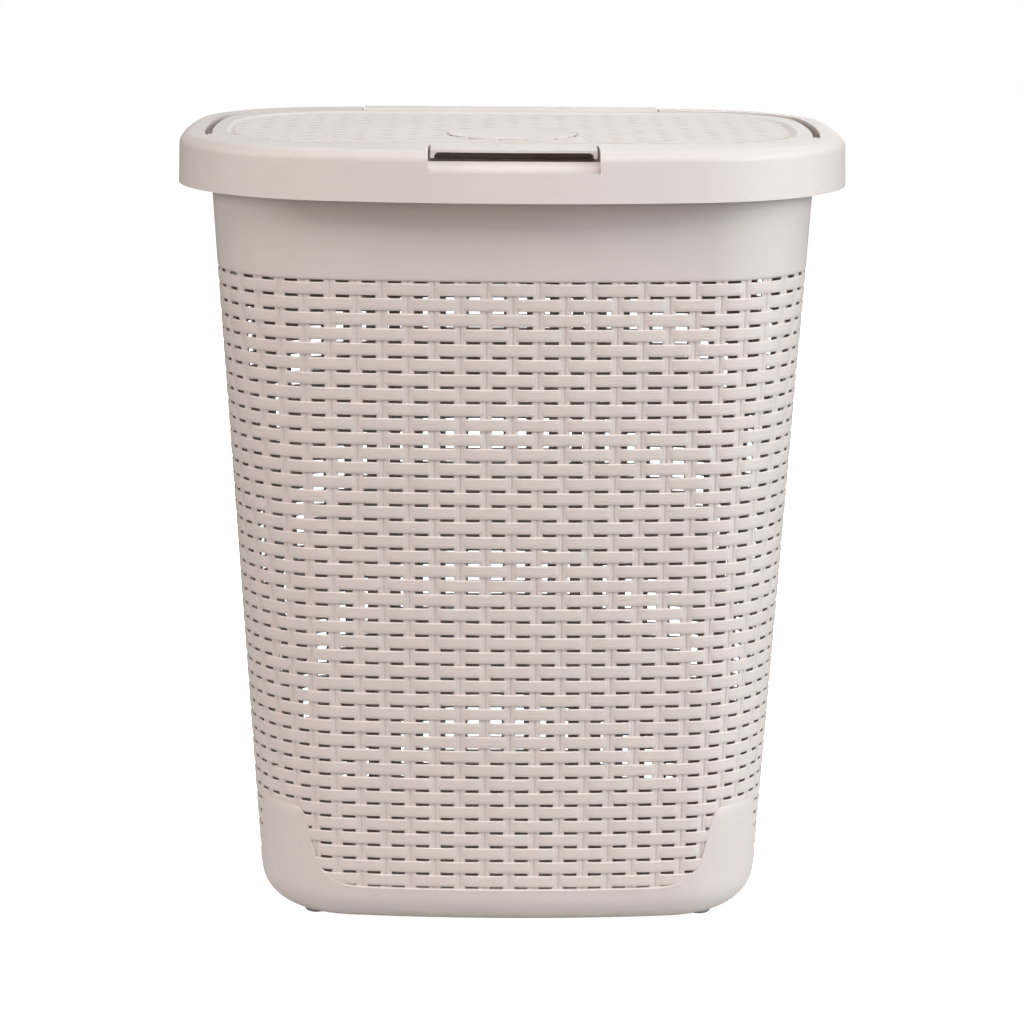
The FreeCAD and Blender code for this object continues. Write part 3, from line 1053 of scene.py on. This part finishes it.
@dataclass
class Studio:
    """Camera, soft lights, pale floor and white surroundings.

    Attributes:
        distance: Camera to the hamper's middle, along Y.
        height: Camera height.
        aside: Camera's place across.
        pan: Turn about the vertical, in radians.
        tilt: Downward tilt, in radians.
        roll: Turn about the line of sight, in radians.
        lens: Focal length for a 36 mm sensor, in millimetres.
        ambient: Even light from all round.
        floor_bounce: Grey of the floor close by, as the object is lit by it.
        floor_beyond: The same, further away.
        table_near: Distance from the middle at which the first grey ends.
        table_far: Distance at which the second one starts.
    """

    distance: float = 2.160
    height: float = 0.728
    aside: float = -0.0170
    pan: float = -0.00865
    tilt: float = 0.2108
    roll: float = 0.007
    lens: float = 111.2
    ambient: float = 0.03
    floor_bounce: float = 0.6
    floor_beyond: float = 0.22
    table_near: float = 0.3
    table_far: float = 0.9

    def camera(self) -> None:
        """Stand the camera in front, a little above the hamper."""
        data = bpy.data.cameras.new("camera")
        data.lens = self.lens
        data.sensor_width = 36.0
        data.clip_end = 20.0
        camera = bpy.data.objects.new("camera", data)
        bpy.context.scene.collection.objects.link(camera)
        look = Matrix.Rotation(self.pan, 4, "Z") @ Matrix.Rotation(math.pi / 2 - self.tilt, 4, "X")
        turn = look @ Matrix.Rotation(self.roll, 4, "Z")
        camera.matrix_world = Matrix.Translation((self.aside, -self.distance, self.height)) @ turn
        bpy.context.scene.camera = camera

    def _fade(self, tree: bpy.types.NodeTree, socket: bpy.types.NodeSocket) -> None:
        """Let the floor's bounce fade away from the hamper, as a small studio table does.

        Args:
            tree: Node tree to add to.
            socket: Grey socket to feed.
        """
        place = tree.nodes.new("ShaderNodeTexCoord")
        length = tree.nodes.new("ShaderNodeVectorMath")
        length.operation = "LENGTH"
        fade = tree.nodes.new("ShaderNodeMapRange")
        fade.inputs["From Min"].default_value = self.table_near
        fade.inputs["From Max"].default_value = self.table_far
        fade.inputs["To Min"].default_value = self.floor_bounce
        fade.inputs["To Max"].default_value = self.floor_beyond
        tree.links.new(place.outputs["Object"], length.inputs[0])
        tree.links.new(length.outputs["Value"], fade.inputs["Value"])
        tree.links.new(fade.outputs["Result"], socket)

    def _split(self, tree: bpy.types.NodeTree, socket: bpy.types.NodeSocket, lit: float,
               seen: float) -> bpy.types.Node:
        """Give a grey that differs between what lights the object and what is seen directly.

        Args:
            tree: Node tree to add to.
            socket: Colour socket to feed.
            lit: Grey that lights the object.
            seen: Grey that is seen.

        Returns:
            The node that gives the grey.
        """
        path = tree.nodes.new("ShaderNodeLightPath")
        grey = tree.nodes.new("ShaderNodeMapRange")
        grey.inputs["To Min"].default_value = lit
        grey.inputs["To Max"].default_value = seen
        tree.links.new(path.outputs["Is Camera Ray"], grey.inputs["Value"])
        tree.links.new(grey.outputs["Result"], socket)
        return grey

    def floor(self) -> None:
        """Lay a wide pale floor."""
        reach = 6.0
        mesh = bpy.data.meshes.new("studio_floor")
        mesh.from_pydata([(-reach, -reach, 0), (reach, -reach, 0), (reach, reach, 0), (-reach, reach, 0)],
                         [], [(0, 1, 2, 3)])
        paint = bpy.data.materials.new("studio_floor")
        paint.use_nodes = True
        shader = paint.node_tree.nodes["Principled BSDF"]
        grey = self._split(paint.node_tree, shader.inputs["Base Color"], self.floor_bounce, 1.0)
        self._fade(paint.node_tree, grey.inputs["To Min"])
        self._split(paint.node_tree, shader.inputs["Emission Color"], 0.0, 1.0)
        shader.inputs["Emission Strength"].default_value = 1.0
        shader.inputs["Roughness"].default_value = 0.9
        mesh.materials.append(paint)
        floor = bpy.data.objects.new("studio_floor", mesh)
        bpy.context.scene.collection.objects.link(floor)

    def surroundings(self) -> None:
        """Fill the world with even white light."""
        world = bpy.data.worlds.new("studio_world")
        world.use_nodes = True
        self._split(world.node_tree, world.node_tree.nodes["Background"].inputs["Color"],
                    self.ambient, 1.0)
        bpy.context.scene.world = world
        bpy.context.scene.view_settings.view_transform = "Standard"

    def build(self) -> None:
        """Set up the whole studio."""
        self.camera()
        self.floor()
        self.surroundings()
        for lamp in LAMPS:
            lamp.hang()


# ---- Assembly ------------------------------------------------------------------------------

FIELD_BEHIND_DISC = 0.046              # middle of the lid's field behind the middle of the disc
FIELD_DROP = 0.0025                    # field below the top of the frame ring


def dress_frame_nodes() -> None:
    """Give the pieces that stay as designed their finishes."""
    finishes = {Slot.FRAME.value: FRAME_FINISH, Slot.LID.value: LID_FINISH,
                Slot.PIN.value: PIN_FINISH, Slot.RUBBER.value: RUBBER_FINISH}
    for part in frame["record"]["subparts"]:
        finish = finishes.get(part["material_slot"])
        if finish is None:
            continue
        node = frame["nodes"][part["node"]]
        for slot in node.material_slots:
            slot.material = finish.material()
        LOG.info("%s keeps its shape, finish %s", node.name, finish.name)


def basket_from_frame() -> WovenBasket:
    """Size the basket from the frame's boxes.

    Returns:
        The basket.
    """
    low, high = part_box("basket_tub")
    plan = BasketPlan(high.x - BEAD_WIDTH, high.y - BEAD_WIDTH, corner=0.0803, level=high.z)
    feet = []
    for name in sorted(frame["nodes"]):
        if name.startswith("foot_"):
            start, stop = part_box(name)
            feet.append(((start.x + stop.x) / 2, (start.y + stop.y) / 2))
    return WovenBasket(plan, high.z, low.z, feet)


def lid_weave_from_frame() -> LidWeave:
    """Place the lid's weave from the frame's boxes.

    Returns:
        The lid's weave.
    """
    low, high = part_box("lid_badge")
    disc_middle = (low.y + high.y) / 2
    ring_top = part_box("rim_frame")[1].z
    outline = LidOutline(half_width=0.1886, half_depth=0.1146, corner=0.0796, long_arc=2.985,
                         short_arc=0.5796)
    return LidWeave(outline, disc_middle + FIELD_BEHIND_DISC, ring_top - FIELD_DROP, disc_middle)


def main() -> None:
    """Build the studio and every piece, in order."""
    logging.basicConfig(level=logging.INFO, format="%(message)s")
    Studio().build()
    basket_from_frame().build()
    lid_weave_from_frame().build()
    dress_frame_nodes()


if __name__ == "__main__":
    main()
